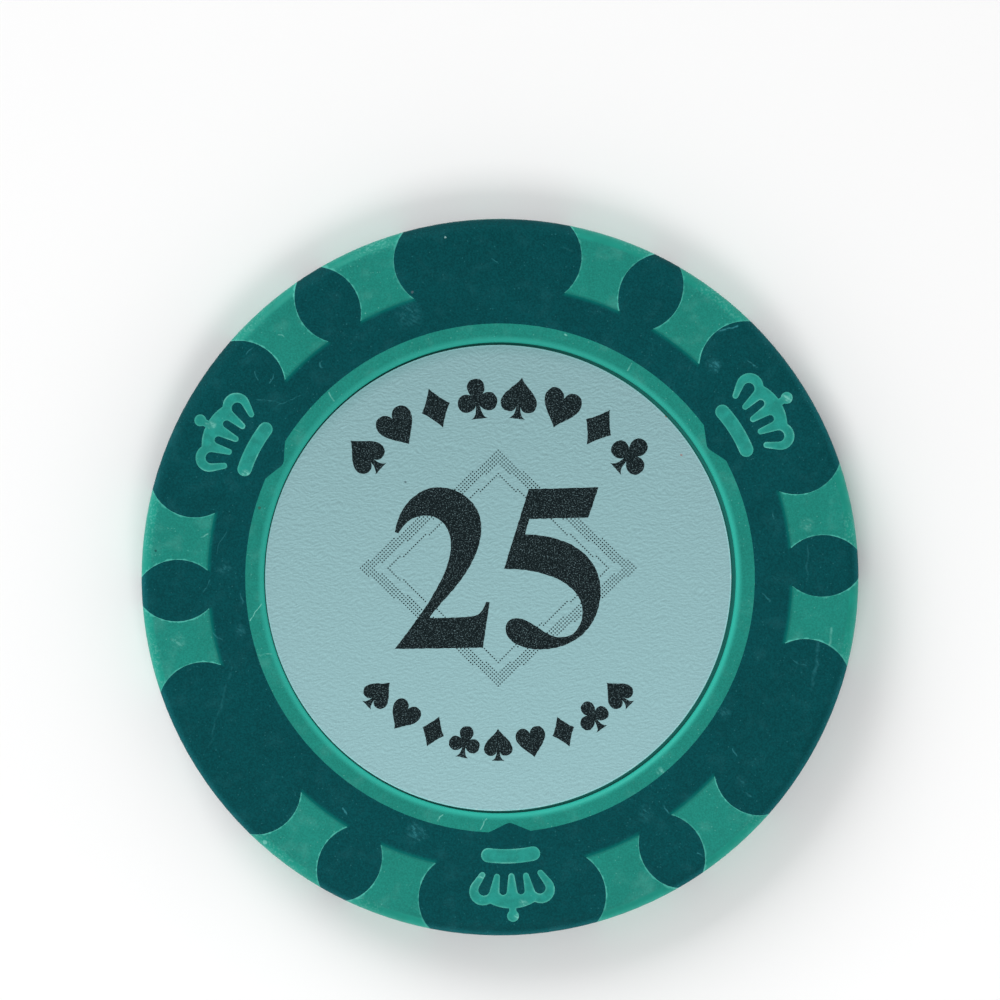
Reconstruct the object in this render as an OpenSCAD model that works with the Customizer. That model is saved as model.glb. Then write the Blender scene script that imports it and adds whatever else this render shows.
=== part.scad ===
// Two-colour moulded poker chip with a steel slug and a printed label on each face.
// The chip lies flat: Z is its axis, Z = 0 is the face it rests on, lengths are millimetres.
// The dark shot is moulded first round the slug. The light shot is moulded second, as one
// piece: its face rings, rim spots, rim dashes and crowns are joined by tunnels inside the chip.

/* [Chip] */
// Outside diameter
chip_d = 40; // [38:0.5:50]
// Thickness from face to face
chip_t = 3.5; // [3.2:0.1:5]
// Radius that rounds the rim into each face
rim_round = 0.7; // [0.3:0.05:1.2]

/* [Rim spots] */
// Length of a spot, from the rim to its inner end
spot_len = 3.7; // [3:0.1:4.4]
// Width of a spot at its waist
waist_w = 2.4; // [1.8:0.1:3]
// Distance of the waist from the rim
waist_in = 2.38; // [1.9:0.02:2.4]
// Radius of the round flanks that cut the waist
flank_r = 2.58; // [2.5:0.02:3.4]
// Width of the dark oval between the two spots of a pair
oval_w = 3.46; // [2.6:0.02:4.4]
// How far the roof of a spot's tunnel slopes out from under the dark band
roof_run = 1.1; // [0.4:0.1:1.6]
// Thickness of the dark band where it ends over a spot's tunnel
roof_edge = 0.1; // [0.05:0.05:0.3]

/* [Rim dashes] */
// Width of a dash along the rim
dash_w = 2.5; // [1.5:0.1:3.2]
// Height of a dash, and of the tunnels
dash_h = 1.1; // [0.7:0.1:1.5]
// Corner radius of a dash
dash_corner = 0.25; // [0.1:0.05:0.35]

/* [Face rings] */
// Width of the dark band between the spots and the light ring
band_w = 2.1; // [1.8:0.1:3]
// Width of the light ring
ring_w = 1; // [0.8:0.1:2]
// Radius that rounds the inner lip of the ring
lip_round = 0.35; // [0.1:0.05:0.5]
// How far the ring reaches in under the edge of the label
ring_foot = 0.6; // [0.3:0.1:1]
// How deep the ring sinks into the tunnels that feed it
ring_key = 0.2; // [0.1:0.05:0.3]
// Length of a notch along the outer edge of the ring
notch_w = 2.35; // [1.5:0.05:3]
// Depth of a notch
notch_depth = 0.53; // [0.2:0.01:0.7]

/* [Crowns] */
// Number of crowns on each face, with one spot pair on both sides of each
crowns = 3; // [2:1:3]
// Width of a crown across its outer arches
crown_w = 4.78; // [4.2:0.02:5.2]
// Height of the middle arch above the tips of the outer ribs
crown_h = 2.1; // [2:0.02:2.3]
// Radius of the middle arch
arch_r = 2.55; // [2:0.05:3.2]
// Diameter of the two outer arches
lobe_d = 1.54; // [1.4:0.02:1.7]
// Height of the outer arches above the tips of the outer ribs
lobe_h = 1.87; // [1.7:0.01:2]
// Width of a rib at its tip
rib_w = 0.33; // [0.28:0.01:0.4]
// Distance from one rib's tip to the next
rib_step = 0.81; // [0.76:0.01:0.86]
// How much further out the three middle ribs end
rib_in = 0.13; // [0.05:0.01:0.2]
// Height of the closed ends of the gaps between the ribs
gap_h = 1.33; // [1.2:0.01:1.4]
// Width of the outer gaps at their closed ends
outer_gap_w = 0.64; // [0.54:0.01:0.7]
// Width of the inner gaps at their closed ends
inner_gap_w = 0.42; // [0.36:0.01:0.48]
// Distance of the outer gaps' closed ends from the crown's middle
outer_gap_at = 1.56; // [1.5:0.01:1.6]
// Distance of the inner gaps' closed ends from the crown's middle
inner_gap_at = 0.5; // [0.46:0.01:0.54]
// Diameter of the ball on top
ball_d = 0.66; // [0.5:0.02:0.7]
// Height of the ball's centre
ball_h = 2.52; // [2.4:0.02:2.6]
// Width of the ball's neck
neck_w = 0.4; // [0.2:0.02:0.44]
// Distance from the spots' inner end out to the tips of the outer ribs
crown_out = 0.05; // [0:0.05:0.2]
// Depth of the crowns and bars below the face
crown_depth = 0.8; // [0.5:0.1:1]
// Length of the bar under a crown
bar_len = 3.3; // [2.4:0.1:3.8]
// Thickness of the bar
bar_t = 0.8; // [0.5:0.05:0.9]
// Radius that the bar is bent to
bar_bend = 7.5; // [5:0.5:14]
// Distance from the spots' inner end in to the middle of the bar
bar_in = 0.77; // [0.6:0.01:1]
// Diameter of the feed that fills each crown and bar from the tunnel below
feed_d = 0.6; // [0.4:0.05:0.7]

/* [Slug] */
// Thickness of the slug
slug_t = 1.5; // [1:0.1:1.7]
// Distance of the slug's edge from the wall of the label recess
slug_in = 1.5; // [1.2:0.1:3]
// Number of locking holes
slug_holes = 6; // [3:1:8]
// Diameter of the locking holes
slug_hole_d = 3; // [2:0.5:4]
// Distance of the holes' centres from the slug's edge
slug_hole_in = 3.2; // [2.8:0.1:5]

/* [Labels] */
// Depth of the label recess in each face
recess_h = 0.4; // [0.3:0.02:0.5]
// Gap between the label and the recess wall
label_gap = 0.2; // [0.12:0.02:0.3]
// How far the front label sits off centre, as stuck by hand
label_shift = 0.1; // [0:0.01:0.1]
// Thickness of the adhesive
adhesive_t = 0.05; // [0.03:0.01:0.08]
// Thickness of the printed paper
paper_t = 0.12; // [0.08:0.01:0.14]
// Thickness of the clear embossed film
film_t = 0.05; // [0.03:0.01:0.08]

/* [Hidden] */
$fn = 120;

// Overshoot of a cut past the surface that it opens
over = 0.2;
dark_green = [0.05, 0.29, 0.30];
light_green = [0.14, 0.53, 0.48];

chip_r = chip_d / 2;
mid_z = chip_t / 2;
spot_inner_r = chip_r - spot_len;
ring_outer_r = spot_inner_r - band_w;
recess_r = ring_outer_r - ring_w;
ring_inner_r = recess_r - ring_foot;
label_r = recess_r - label_gap;
slug_r = recess_r - slug_in;
lip_r = min(lip_round, recess_h);

tunnel_top = mid_z + dash_h / 2;
tunnel_floor = mid_z - dash_h / 2;
ring_floor = tunnel_top - ring_key;

// A spot's flanks are circles. Their centres lie beside the waist, off the spot's own axis.
waist_r = chip_r - waist_in;
flank_y = waist_w / 2 + flank_r;
flank_dist = norm([waist_r, flank_y]);
flank_angle = atan2(flank_y, waist_r);
spot_angle = flank_angle - asin((flank_r - oval_w / 2) / flank_dist);

pair_step = 180 / crowns;
pair_angles = [for (i = [0 : 2 * crowns - 1]) i * pair_step];
lobe_angles = [for (a = pair_angles) a + pair_step / 2];
crown_angles = [for (i = [0 : crowns - 1]) lobe_angles[2 * i]];
spot_angles = [for (a = pair_angles, side = [-1, 1]) a + side * spot_angle];

crown_r = spot_inner_r + crown_out;
bar_r = spot_inner_r - bar_in;
// Straight steps in half a notch, and in each curve of a crown or bar
notch_steps = 12;
arc_steps = 10;
// Where a crown's outer arch starts, and how far short of its middle the middle arch ends,
// as a share of its diameter
lobe_start = -28;
arch_end = 0.29;
// Roundness of a notch's tip, as a share of its half width
notch_tip = 0.15;

module at_angles(angles) {
    for (a = angles)
        rotate(a)
            children();
}

// Repeats a shape drawn at the top face on the underside too
module on_both_faces() {
    children();
    translate([0, 0, chip_t])
        mirror([0, 0, 1])
            children();
}

module rounded_rectangle(w, h, r) {
    square([w - 2 * r, h], center = true);
    square([w, h - 2 * r], center = true);
    for (x = [-1, 1], y = [-1, 1])
        translate([x * (w / 2 - r), y * (h / 2 - r)])
            circle(r);
}

// Half section of the rounded disc
module disc_section() {
    square([chip_r - rim_round, chip_t]);
    translate([0, rim_round])
        square([chip_r, chip_t - 2 * rim_round]);
    for (z = [rim_round, chip_t - rim_round])
        translate([chip_r - rim_round, z])
            circle(rim_round);
}

// Half section of the top label recess, with the lip that its ring is rounded to
module recess_section() {
    translate([0, chip_t - recess_h])
        square([recess_r, recess_h + over]);
    difference() {
        translate([recess_r - over, chip_t - lip_r])
            square([lip_r + over, lip_r + over]);
        translate([recess_r + lip_r, chip_t - lip_r])
            circle(lip_r);
    }
}

// The whole moulded chip, both colours, with its label recesses
module moulded_disc() {
    difference() {
        rotate_extrude()
            disc_section();
        on_both_faces()
            rotate_extrude()
                recess_section();
    }
}

module spot_outline() {
    reach = chip_r + over;
    difference() {
        polygon([
            [0, 0],
            [reach, -reach * tan(flank_angle)],
            [reach, reach * tan(flank_angle)],
        ]);
        circle(spot_inner_r);
        for (side = [-1, 1])
            translate([waist_r, side * flank_y])
                circle(flank_r);
    }
}

// The full-thickness block that shows on both faces and on the rim
module spot_block() {
    translate([0, 0, -over])
        linear_extrude(chip_t + 2 * over)
            spot_outline();
}

// The tunnel from the rings out to a spot, as wide as the spot's waist.
// Its roof and floor slope towards the faces, which they almost reach at the spot's inner end.
module spot_tunnel() {
    slope = (chip_t - roof_edge - tunnel_top) / roof_run;
    mouth_edge = roof_edge - over * slope;
    rotate([90, 0, 0])
        translate([0, 0, -waist_w / 2])
            linear_extrude(waist_w)
                polygon([
                    [recess_r, tunnel_floor],
                    [spot_inner_r - roof_run, tunnel_floor],
                    [spot_inner_r + over, mouth_edge],
                    [spot_inner_r + over, chip_t - mouth_edge],
                    [spot_inner_r - roof_run, tunnel_top],
                    [recess_r, tunnel_top],
                ]);
}

// The tunnel from the rings out to a dash on the rim
module dash_tunnel() {
    translate([recess_r, 0, mid_z])
        rotate([90, 0, 90])
            linear_extrude(chip_r + over - recess_r)
                rounded_rectangle(dash_w, dash_h, dash_corner);
}

// V-shaped notch with a rounded tip, in the outer edge of the ring, run on past that edge
module notch_outline() {
    half_angle = asin(notch_w / 2 / ring_outer_r);
    function rise(s) = sqrt(s * s + notch_tip * notch_tip) - notch_tip;
    function depth_at(s) = notch_depth * (1 - rise(s) / rise(1));
    polygon([
        for (i = [-notch_steps - 2 : notch_steps + 2])
            let (s = i / notch_steps, r = ring_outer_r - depth_at(s))
                r * [cos(s * half_angle), sin(s * half_angle)]
    ]);
}

module face_ring() {
    difference() {
        translate([0, 0, ring_floor])
            difference() {
                cylinder(r = ring_outer_r, h = chip_t - ring_floor + over);
                translate([0, 0, -over])
                    cylinder(r = ring_inner_r, h = chip_t - ring_floor + 3 * over);
            }
        at_angles(crown_angles)
            translate([0, 0, ring_floor - over])
                linear_extrude(chip_t - ring_floor + 3 * over)
                    notch_outline();
    }
}

// Points along an arc round a centre, from one angle to another
function arc(centre, r, from, to) =
    [for (i = [0 : arc_steps]) let (a = from + (to - from) * i / arc_steps) centre + r * [cos(a), sin(a)]];

// Direction, seen from a circle's centre, in which a line touches it and the circle round another
// centre. The two radii are taken from each other if the line keeps both circles on one side of it,
// and added up if it passes between them.
function touch_angle(centre, other, radii, side) =
    (atan2(other.y - centre.y, other.x - centre.x) + side * acos(radii / norm(other - centre)) + 720) % 360;

// An arched crown that points to the rim: a ball on a neck, three arches, and five ribs with open ends.
// One half is drawn as arcs joined by straight lines, from the ball round to the middle rib.
module crown_outline() {
    ball = [ball_h, 0];
    arch = [crown_h - arch_r, 0];
    lobe = [lobe_h - lobe_d / 2, (crown_w - lobe_d) / 2];
    outer_tip = [rib_w / 2, 2 * rib_step];
    next_tip = [rib_in + rib_w / 2, rib_step];
    middle_tip = [rib_in + rib_w / 2, 0];
    outer_gap = [gap_h - outer_gap_w / 2, outer_gap_at];
    inner_gap = [gap_h - inner_gap_w / 2, inner_gap_at];
    neck_angle = 180 - asin(neck_w / ball_d);
    outside = touch_angle(lobe, outer_tip, (lobe_d - rib_w) / 2, -1);
    into_outer = touch_angle(outer_tip, outer_gap, (rib_w + outer_gap_w) / 2, -1);
    from_outer = touch_angle(outer_gap, next_tip, (rib_w + outer_gap_w) / 2, 1);
    into_inner = touch_angle(next_tip, inner_gap, (rib_w + inner_gap_w) / 2, -1);
    from_inner = touch_angle(inner_gap, middle_tip, (rib_w + inner_gap_w) / 2, 1);
    half = concat(
        arc(ball, ball_d / 2, 0, neck_angle),
        arc(arch, arch_r, asin(neck_w / 2 / arch_r), asin((lobe.y - lobe_d * arch_end) / arch_r)),
        arc(lobe, lobe_d / 2, lobe_start, outside),
        arc(outer_tip, rib_w / 2, outside, into_outer),
        arc(outer_gap, outer_gap_w / 2, into_outer - 180, from_outer - 360),
        arc(next_tip, rib_w / 2, from_outer - 180, into_inner),
        arc(inner_gap, inner_gap_w / 2, into_inner - 180, from_inner - 360),
        arc(middle_tip, rib_w / 2, from_inner - 180, 180)
    );
    other_half = [for (i = [len(half) - 2 : -1 : 1]) [half[i].x, -half[i].y]];
    polygon(concat(half, other_half));
}

// The bent bar under a crown, with round ends
module bar_outline() {
    half_angle = asin((bar_len - bar_t) / 2 / bar_bend);
    half_t = bar_t / 2;
    end = bar_bend * [cos(half_angle), sin(half_angle)];
    cap = arc(end, half_t, half_angle, half_angle + 180);
    other_cap = [for (i = [arc_steps : -1 : 0]) [cap[i].x, -cap[i].y]];
    translate([-bar_bend, 0])
        polygon(concat(
            arc([0, 0], bar_bend + half_t, -half_angle, half_angle),
            cap,
            arc([0, 0], bar_bend - half_t, half_angle, -half_angle),
            other_cap
        ));
}

module crown_and_bar() {
    translate([0, 0, chip_t - crown_depth])
        linear_extrude(crown_depth + over) {
            translate([crown_r, 0])
                crown_outline();
            translate([bar_r, 0])
                bar_outline();
        }
    for (r = [bar_r, crown_r + (gap_h + crown_h) / 2])
        translate([r, 0, mid_z])
            cylinder(d = feed_d, h = chip_t - crown_depth / 2 - mid_z);
}

// All the space that the light shot fills, run past the faces and the rim
module light_space() {
    at_angles(spot_angles) {
        spot_block();
        spot_tunnel();
    }
    at_angles(lobe_angles)
        dash_tunnel();
    on_both_faces() {
        face_ring();
        at_angles(crown_angles)
            crown_and_bar();
    }
}

module steel_slug() {
    color("silver")
        translate([0, 0, mid_z - slug_t / 2])
            difference() {
                cylinder(r = slug_r, h = slug_t);
                for (i = [0 : slug_holes - 1])
                    rotate(i * 360 / slug_holes)
                        translate([slug_r - slug_hole_in, 0, -over])
                            cylinder(d = slug_hole_d, h = slug_t + 2 * over);
            }
}

module base_moulding() {
    color(dark_green)
        difference() {
            moulded_disc();
            light_space();
            steel_slug();
        }
}

module spot_moulding() {
    color(light_green)
        intersection() {
            moulded_disc();
            light_space();
        }
}

// One layer of a label, set off the recess floor by the layers below it
module label_layer(below, thick) {
    translate([0, 0, chip_t - recess_h + below])
        cylinder(r = label_r, h = thick);
}

module front_label() {
    translate([-label_shift, 0, 0])
        children();
}

module back_label() {
    translate([0, 0, chip_t])
        mirror([0, 0, 1])
            children();
}

module front_label_adhesive() {
    color("beige")
        front_label()
            label_layer(0, adhesive_t);
}

module front_label_paper() {
    color([0.56, 0.71, 0.73])
        front_label()
            label_layer(adhesive_t, paper_t);
}

module front_label_film() {
    color([0.80, 0.88, 0.90, 0.3])
        front_label()
            label_layer(adhesive_t + paper_t, film_t);
}

module back_label_adhesive() {
    color("beige")
        back_label()
            label_layer(0, adhesive_t);
}

module back_label_paper() {
    color([0.56, 0.71, 0.73])
        back_label()
            label_layer(adhesive_t, paper_t);
}

module back_label_film() {
    color([0.80, 0.88, 0.90, 0.3])
        back_label()
            label_layer(adhesive_t + paper_t, film_t);
}

steel_slug();
base_moulding();
spot_moulding();
front_label_adhesive();
front_label_paper();
front_label_film();
back_label_adhesive();
back_label_paper();
back_label_film();
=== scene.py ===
"""Looks of a two-colour moulded poker chip: plastics, labels, print, stage, light and camera."""
import math

import bmesh
import bpy
from mathutils import Matrix, Vector, noise
from mathutils.geometry import tessellate_polygon


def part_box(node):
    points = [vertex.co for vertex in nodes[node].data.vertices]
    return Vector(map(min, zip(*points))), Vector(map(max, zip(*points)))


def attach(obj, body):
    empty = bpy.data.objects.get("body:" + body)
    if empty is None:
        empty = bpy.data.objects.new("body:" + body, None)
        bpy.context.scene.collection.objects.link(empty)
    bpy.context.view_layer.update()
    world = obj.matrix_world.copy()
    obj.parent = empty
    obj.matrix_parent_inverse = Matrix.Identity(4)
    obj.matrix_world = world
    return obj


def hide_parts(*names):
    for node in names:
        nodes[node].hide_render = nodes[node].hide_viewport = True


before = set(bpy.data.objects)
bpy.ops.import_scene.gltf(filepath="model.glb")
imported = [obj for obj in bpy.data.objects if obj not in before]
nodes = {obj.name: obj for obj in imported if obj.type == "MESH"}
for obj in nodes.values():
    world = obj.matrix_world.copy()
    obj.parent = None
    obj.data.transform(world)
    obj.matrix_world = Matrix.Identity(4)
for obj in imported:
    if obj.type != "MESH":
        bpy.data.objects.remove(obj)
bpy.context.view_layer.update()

# Lengths below are millimetres in the chip's frame, and angles are degrees from +X.
MM = 0.001
BODY = "root"

# The mould's pattern, as the solids have it
CHIP_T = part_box("base_moulding")[1].z / MM
MID_Z = CHIP_T / 2
RIM_R = 20.0
SPOT_INNER_R = 16.3
WAIST_W = 2.4
WAIST_R = 17.62
FLANK_R = 2.58
FLANK_Y = WAIST_W / 2 + FLANK_R
FLANK_DIST = math.hypot(WAIST_R, FLANK_Y)
FLANK_ANGLE = math.degrees(math.atan2(FLANK_Y, WAIST_R))
OVAL_W = 3.46
SPOT_ANGLE = FLANK_ANGLE - math.degrees(math.asin((FLANK_R - OVAL_W / 2) / FLANK_DIST))
PAIR_STEP = 60
CROWN_FROM_R = 14.8

# The lip that is laid on each ring, the pale edge of the crowns, and the height of the rim's parting line
LIP_R = 13.125
LIP_ROUND = 0.35
CROWN_EDGE_W = 0.28
PARTING_Z = 0.75

# Angles from the middle of a pair of rim spots: how far the soft inner end and the flash of a spot
# reach, and where the rim dash begins
SOFT_END_TO = 20
FLASH_TO = 22
DASH_FROM = 24

# The soft inner end of a spot: where the dark band thins out over it, and where its own dark veil ends
THIN_FROM_R = SPOT_INNER_R - 0.26
THIN_FULL_R = SPOT_INNER_R + 0.04
VEIL_FROM_R = SPOT_INNER_R + 0.17
VEIL_FULL_R = SPOT_INNER_R - 0.02

# Radii just off the inner end of a spot, for what shows on one side of it only
BAND_TO_R = SPOT_INNER_R + 0.01
LOBE_FROM_R = SPOT_INNER_R + 0.02
SPOT_FROM_R = SPOT_INNER_R - 0.05

# The rounded lip of a ring has a painted highlight from its opening to a little past its round
LIP_HIGHLIGHT_FULL_R = LIP_R + 0.08
LIP_HIGHLIGHT_TO_R = LIP_R + 0.46

# Heights from the middle plane: the faces, the wall of the label's recess and the recess floor
FACE_FROM = MID_Z - 0.045
FACE_FULL = MID_Z - 0.006
WALL_FROM = MID_Z - 0.2
WALL_FULL = MID_Z - 0.32
FLOOR_FROM = MID_Z - 0.3
FLOOR_FULL = MID_Z - 0.36

# Radii below which the recess has painted shade on its wall and a painted highlight on its floor
FLOOR_HIGHLIGHT_FROM_R = 14
FLOOR_HIGHLIGHT_FULL_R = 13.5
WALL_SHADE_FROM_R = 15
WALL_SHADE_FULL_R = 14

# The rounded edges of the rim, which have a painted highlight: the radii where the highlight sets in, and
# the heights from the middle plane where the edges begin
RIM_HIGHLIGHT_FROM_R = RIM_R - 0.42
RIM_HIGHLIGHT_FULL_R = RIM_R - 0.06
EDGE_FROM = MID_Z - 1.1
EDGE_FULL = MID_Z - 0.75
DARK_RIM_HIGHLIGHT_GAIN = 1.7
LIGHT_RIM_HIGHLIGHT_GAIN = 1.25

# How far the photograph's chip is turned. Its label lies level in the picture.
PATTERN_TURN = 2.2
LABEL_TURN = -PATTERN_TURN
# Towards the top of the picture and a little to the left the rim's edges have less painted highlight,
# turning to painted shade, and the label's upper edge has painted shade; the label's cut edge has a
# painted highlight towards the bottom and the right
UPWARD_LEAN = -0.2
DOWNWARD_LEAN = -1.7
TOP_SHADE_FROM = 4
TOP_SHADE_FULL = 17


def srgb(red, green, blue):
    """A linear colour from 0 to 255 display values."""
    def linear(value):
        value /= 255
        return value / 12.92 if value <= 0.04045 else ((value + 0.055) / 1.055) ** 2.4
    return (linear(red), linear(green), linear(blue), 1.0)


SPECK = srgb(12, 50, 52)
DARK = srgb(6, 71, 75)
DARK_WORN = srgb(56, 128, 134)
LIGHT_FLAT = srgb(28, 130, 117)
LIGHT_SMOOTH = srgb(29, 141, 125)
LIGHT_WORN = srgb(112, 190, 176)
LIP_HIGHLIGHT = srgb(50, 176, 159)
THIN_BAND = srgb(2, 128, 116)
FLASH = srgb(84, 188, 172)
CROWN = srgb(40, 149, 139)
OUTLINE = srgb(72, 172, 156)
OUTLINE_HEAVY = srgb(112, 206, 190)
DARK_SCRATCH = srgb(58, 140, 148)
LIGHT_SCRATCH = srgb(134, 212, 198)
WALL_SHADE = srgb(34, 118, 110)
FLOOR_HIGHLIGHT = srgb(66, 213, 198)
PAPER = srgb(142, 181, 185)
PAPER_CUT_AND_REFLECTION = srgb(160, 222, 225)
PAPER_SHADED = srgb(70, 136, 135)
PAPER_FIBRE = srgb(205, 230, 232)
PAPER_SPECK = srgb(66, 84, 88)
INK = srgb(5, 20, 23)
INK_GLINT = srgb(98, 122, 126)
GLUE = srgb(190, 186, 160)
GLUE_PALE = srgb(214, 211, 190)
STEEL = srgb(150, 150, 148)
STEEL_PALE = srgb(186, 186, 182)


# Node materials

# Specks: cells per millimetre, largest radius, share of the cells that have one, and strength
FINE_SPECKS = (5.5, 0.045, 0.45, 0.36)
COARSE_SPECKS = (1.7, 0.05, 0.10, 0.6)
DARK_SPECKS = (0.8, 0.06, 0.06, 0.5)
PAPER_SPECKS = (0.55, 0.06, 0.12, 0.75)
SPECK_SOFTNESS = 0.3
# Hairlines: the direction of each set, and how far its pattern is shifted
HAIRLINE_SETS = ((28, 0), (112, 40))
HAIRLINE_STRETCH = (0.22, 1.6, 1)
HAIRLINE_LEVEL = 0.0045
HAIRLINE_STRENGTH = 0.14
SEED_SHIFT = (17.3, 5.7, 3.1)
GRAIN_DEPTH = 0.004
GLINT_DEPTH = 0.006
BRUSHED_STRETCH = (0.4, 12, 1)
STAIN_WOBBLE = 0.1
SCRATCH_WOBBLE = 0.5
SCRATCH_WIDTH = 0.6
SCRATCH_STRENGTH = 0.85
SCUFF_STRETCH = (4, 8, 1)
SCUFF_SLANT = 35


class Look:
    """One node material, with short calls for the nodes that the looks share."""

    def __init__(self, name):
        self.material = bpy.data.materials.new(name)
        self.material.use_nodes = True
        self.tree = self.material.node_tree
        self.shader = self.tree.nodes["Principled BSDF"]
        place = self.node("ShaderNodeTexCoord").outputs["Object"]
        self.place = self.vector("SCALE", place, scale=1 / MM)
        self.x, self.y, self.z = self.node("ShaderNodeSeparateXYZ", {0: self.place}).outputs

    def plug(self, socket, value):
        """Links a socket to the value, or sets it where the value is a plain one."""
        if isinstance(value, bpy.types.NodeSocket):
            self.tree.links.new(value, socket)
        else:
            socket.default_value = value

    def node(self, kind, inputs=None, **settings):
        made = self.tree.nodes.new(kind)
        for key, value in settings.items():
            setattr(made, key, value)
        for key, value in (inputs or {}).items():
            self.plug(made.inputs[key], value)
        return made

    def vector(self, operation, a, b=(0, 0, 0), c=(0, 0, 0), scale=1.0):
        made = self.node("ShaderNodeVectorMath", {0: a, 1: b, 2: c, 3: scale}, operation=operation)
        return made.outputs[1 if operation in ("LENGTH", "DISTANCE") else 0]

    def math(self, operation, a, b=0.0, c=0.0):
        return self.node("ShaderNodeMath", {0: a, 1: b, 2: c}, operation=operation).outputs[0]

    def dot(self, a, b):
        made = self.node("ShaderNodeVectorMath", {0: a, 1: b}, operation="DOT_PRODUCT")
        return made.outputs[1]

    def turned(self, angle):
        """The place turned round Z by an angle in degrees."""
        made = self.node(
            "ShaderNodeVectorRotate",
            {"Vector": self.place, "Angle": math.radians(angle)},
            rotation_type="Z_AXIS",
        )
        return made.outputs[0]

    def product(self, *factors):
        result = factors[0]
        for factor in factors[1:]:
            result = self.math("MULTIPLY", result, factor)
        return result

    def span(self, value, low, high, to_low=0.0, to_high=1.0):
        """Maps low..high smoothly to to_low..to_high."""
        made = self.node(
            "ShaderNodeMapRange",
            {"Value": value, "From Min": low, "From Max": high, "To Min": to_low, "To Max": to_high},
            interpolation_type="SMOOTHSTEP",
        )
        return made.outputs["Result"]

    def noise(self, scale, detail=2.0, stretch=(1, 1, 1), offset=(0, 0, 0), place=None):
        place = self.vector("MULTIPLY_ADD", place or self.place, stretch, offset)
        made = self.node("ShaderNodeTexNoise", {"Vector": place, "Scale": scale, "Detail": detail})
        return made.outputs["Fac"]

    def specks(self, scale, size, share, strength, offset=(0, 0, 0)):
        """Round specks of up to the given size, in a share of the cells of a random pattern."""
        place = self.vector("ADD", self.place, offset)
        cells = self.node("ShaderNodeTexVoronoi", {"Vector": place, "Scale": scale})
        chosen = self.node("ShaderNodeSeparateColor", {0: cells.outputs["Color"]}).outputs
        radius = self.math("MULTIPLY", chosen["Green"], size * scale)
        inside = self.math("SUBTRACT", radius, cells.outputs["Distance"])
        speck = self.span(inside, 0, SPECK_SOFTNESS * size * scale)
        return self.product(speck, self.math("LESS_THAN", chosen["Red"], share), strength)

    def hairlines(self, turn, seed):
        """Fine wandering lines along one direction, broken up into short runs."""
        turned = self.turned(turn)
        waves = self.noise(1, 2, HAIRLINE_STRETCH, (seed, 0, 0), turned)
        level = self.math("ABSOLUTE", self.math("SUBTRACT", waves, 0.5))
        line = self.span(level, HAIRLINE_LEVEL, 0.0)
        runs = self.noise(0.7, 2, (1, 1, 1), (0, seed, 0), turned)
        return self.product(line, self.span(runs, 0.56, 0.66))

    def mix(self, factor, a, b):
        made = self.node("ShaderNodeMix", {"Factor": factor}, data_type="RGBA")
        self.plug(made.inputs[6], a)
        self.plug(made.inputs[7], b)
        return made.outputs[2]

    def shade(self, colour, factor):
        if isinstance(colour, tuple):
            colour = colour[:3]
        return self.vector("SCALE", colour, scale=factor)

    def bump(self, height, depth):
        made = self.node("ShaderNodeBump", {"Height": height, "Distance": depth * MM})
        self.plug(self.shader.inputs["Normal"], made.outputs["Normal"])

    def finish(self, colour, roughness, specular):
        self.plug(self.shader.inputs["Base Color"], colour)
        self.plug(self.shader.inputs["Roughness"], roughness)
        self.shader.inputs["Specular IOR Level"].default_value = specular
        return self.material

    def flattened(self, place):
        return self.vector("MULTIPLY", place, (1, 1, 0))

    def radius(self):
        return self.vector("LENGTH", self.flattened(self.place))

    def from_middle(self):
        """Distance above or below the middle plane of the chip."""
        return self.math("ABSOLUTE", self.math("SUBTRACT", self.z, MID_Z))

    def upward(self):
        """How far a point lies towards the top of the picture, and a little to the left."""
        return self.math("MULTIPLY_ADD", self.x, UPWARD_LEAN, self.y)

    def downward(self):
        """How far a point lies towards the bottom of the picture and to the right."""
        return self.math("MULTIPLY_ADD", self.y, DOWNWARD_LEAN, self.x)

    def folded_angle(self):
        """Angle from the middle of the nearest pair of rim spots, in radians."""
        angle = self.math("ARCTAN2", self.y, self.x)
        return self.math("PINGPONG", angle, math.radians(PAIR_STEP / 2))

    def inside_flanks(self, radius, angle):
        """How far a point lies inside a rim spot, measured from the spot's nearest flank."""
        gaps = []
        for side in (-1, 1):
            flank = math.radians(SPOT_ANGLE + side * FLANK_ANGLE)
            cosine = self.math("COSINE", self.math("SUBTRACT", angle, flank))
            along = self.math("MULTIPLY_ADD", cosine, -2 * FLANK_DIST, radius)
            squared = self.math("MULTIPLY_ADD", along, radius, FLANK_DIST ** 2)
            gaps.append(self.math("SQRT", squared))
        return self.math("SUBTRACT", self.math("MINIMUM", *gaps), FLANK_R)

    def edge(self, width):
        """1 on the sharp edges of the piece, falling to 0 over the given width."""
        bent = self.node("ShaderNodeBevel", {"Radius": width * MM}, samples=8).outputs[0]
        flat = self.node("ShaderNodeNewGeometry").outputs["True Normal"]
        return self.span(self.dot(bent, flat), 0.99, 0.78)

    def rim_edge(self, height):
        """1 on the rounded edges of the rim and 0 on its middle, by the distance from the middle plane."""
        return self.span(height, EDGE_FROM, EDGE_FULL)

    def rim_edge_highlight(self, radius, height, gain):
        """Painted highlight on the rounded edges of the rim, weakest at the top, where it turns to a
        little painted shade.
        """
        highlit = self.span(radius, RIM_HIGHLIGHT_FROM_R, RIM_HIGHLIGHT_FULL_R)
        less_at_top = self.span(self.upward(), TOP_SHADE_FROM, TOP_SHADE_FULL, 1.0, -0.25)
        highlit = self.product(highlit, self.rim_edge(height), less_at_top)
        return self.math("MULTIPLY_ADD", highlit, gain - 1, 1.0)

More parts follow.
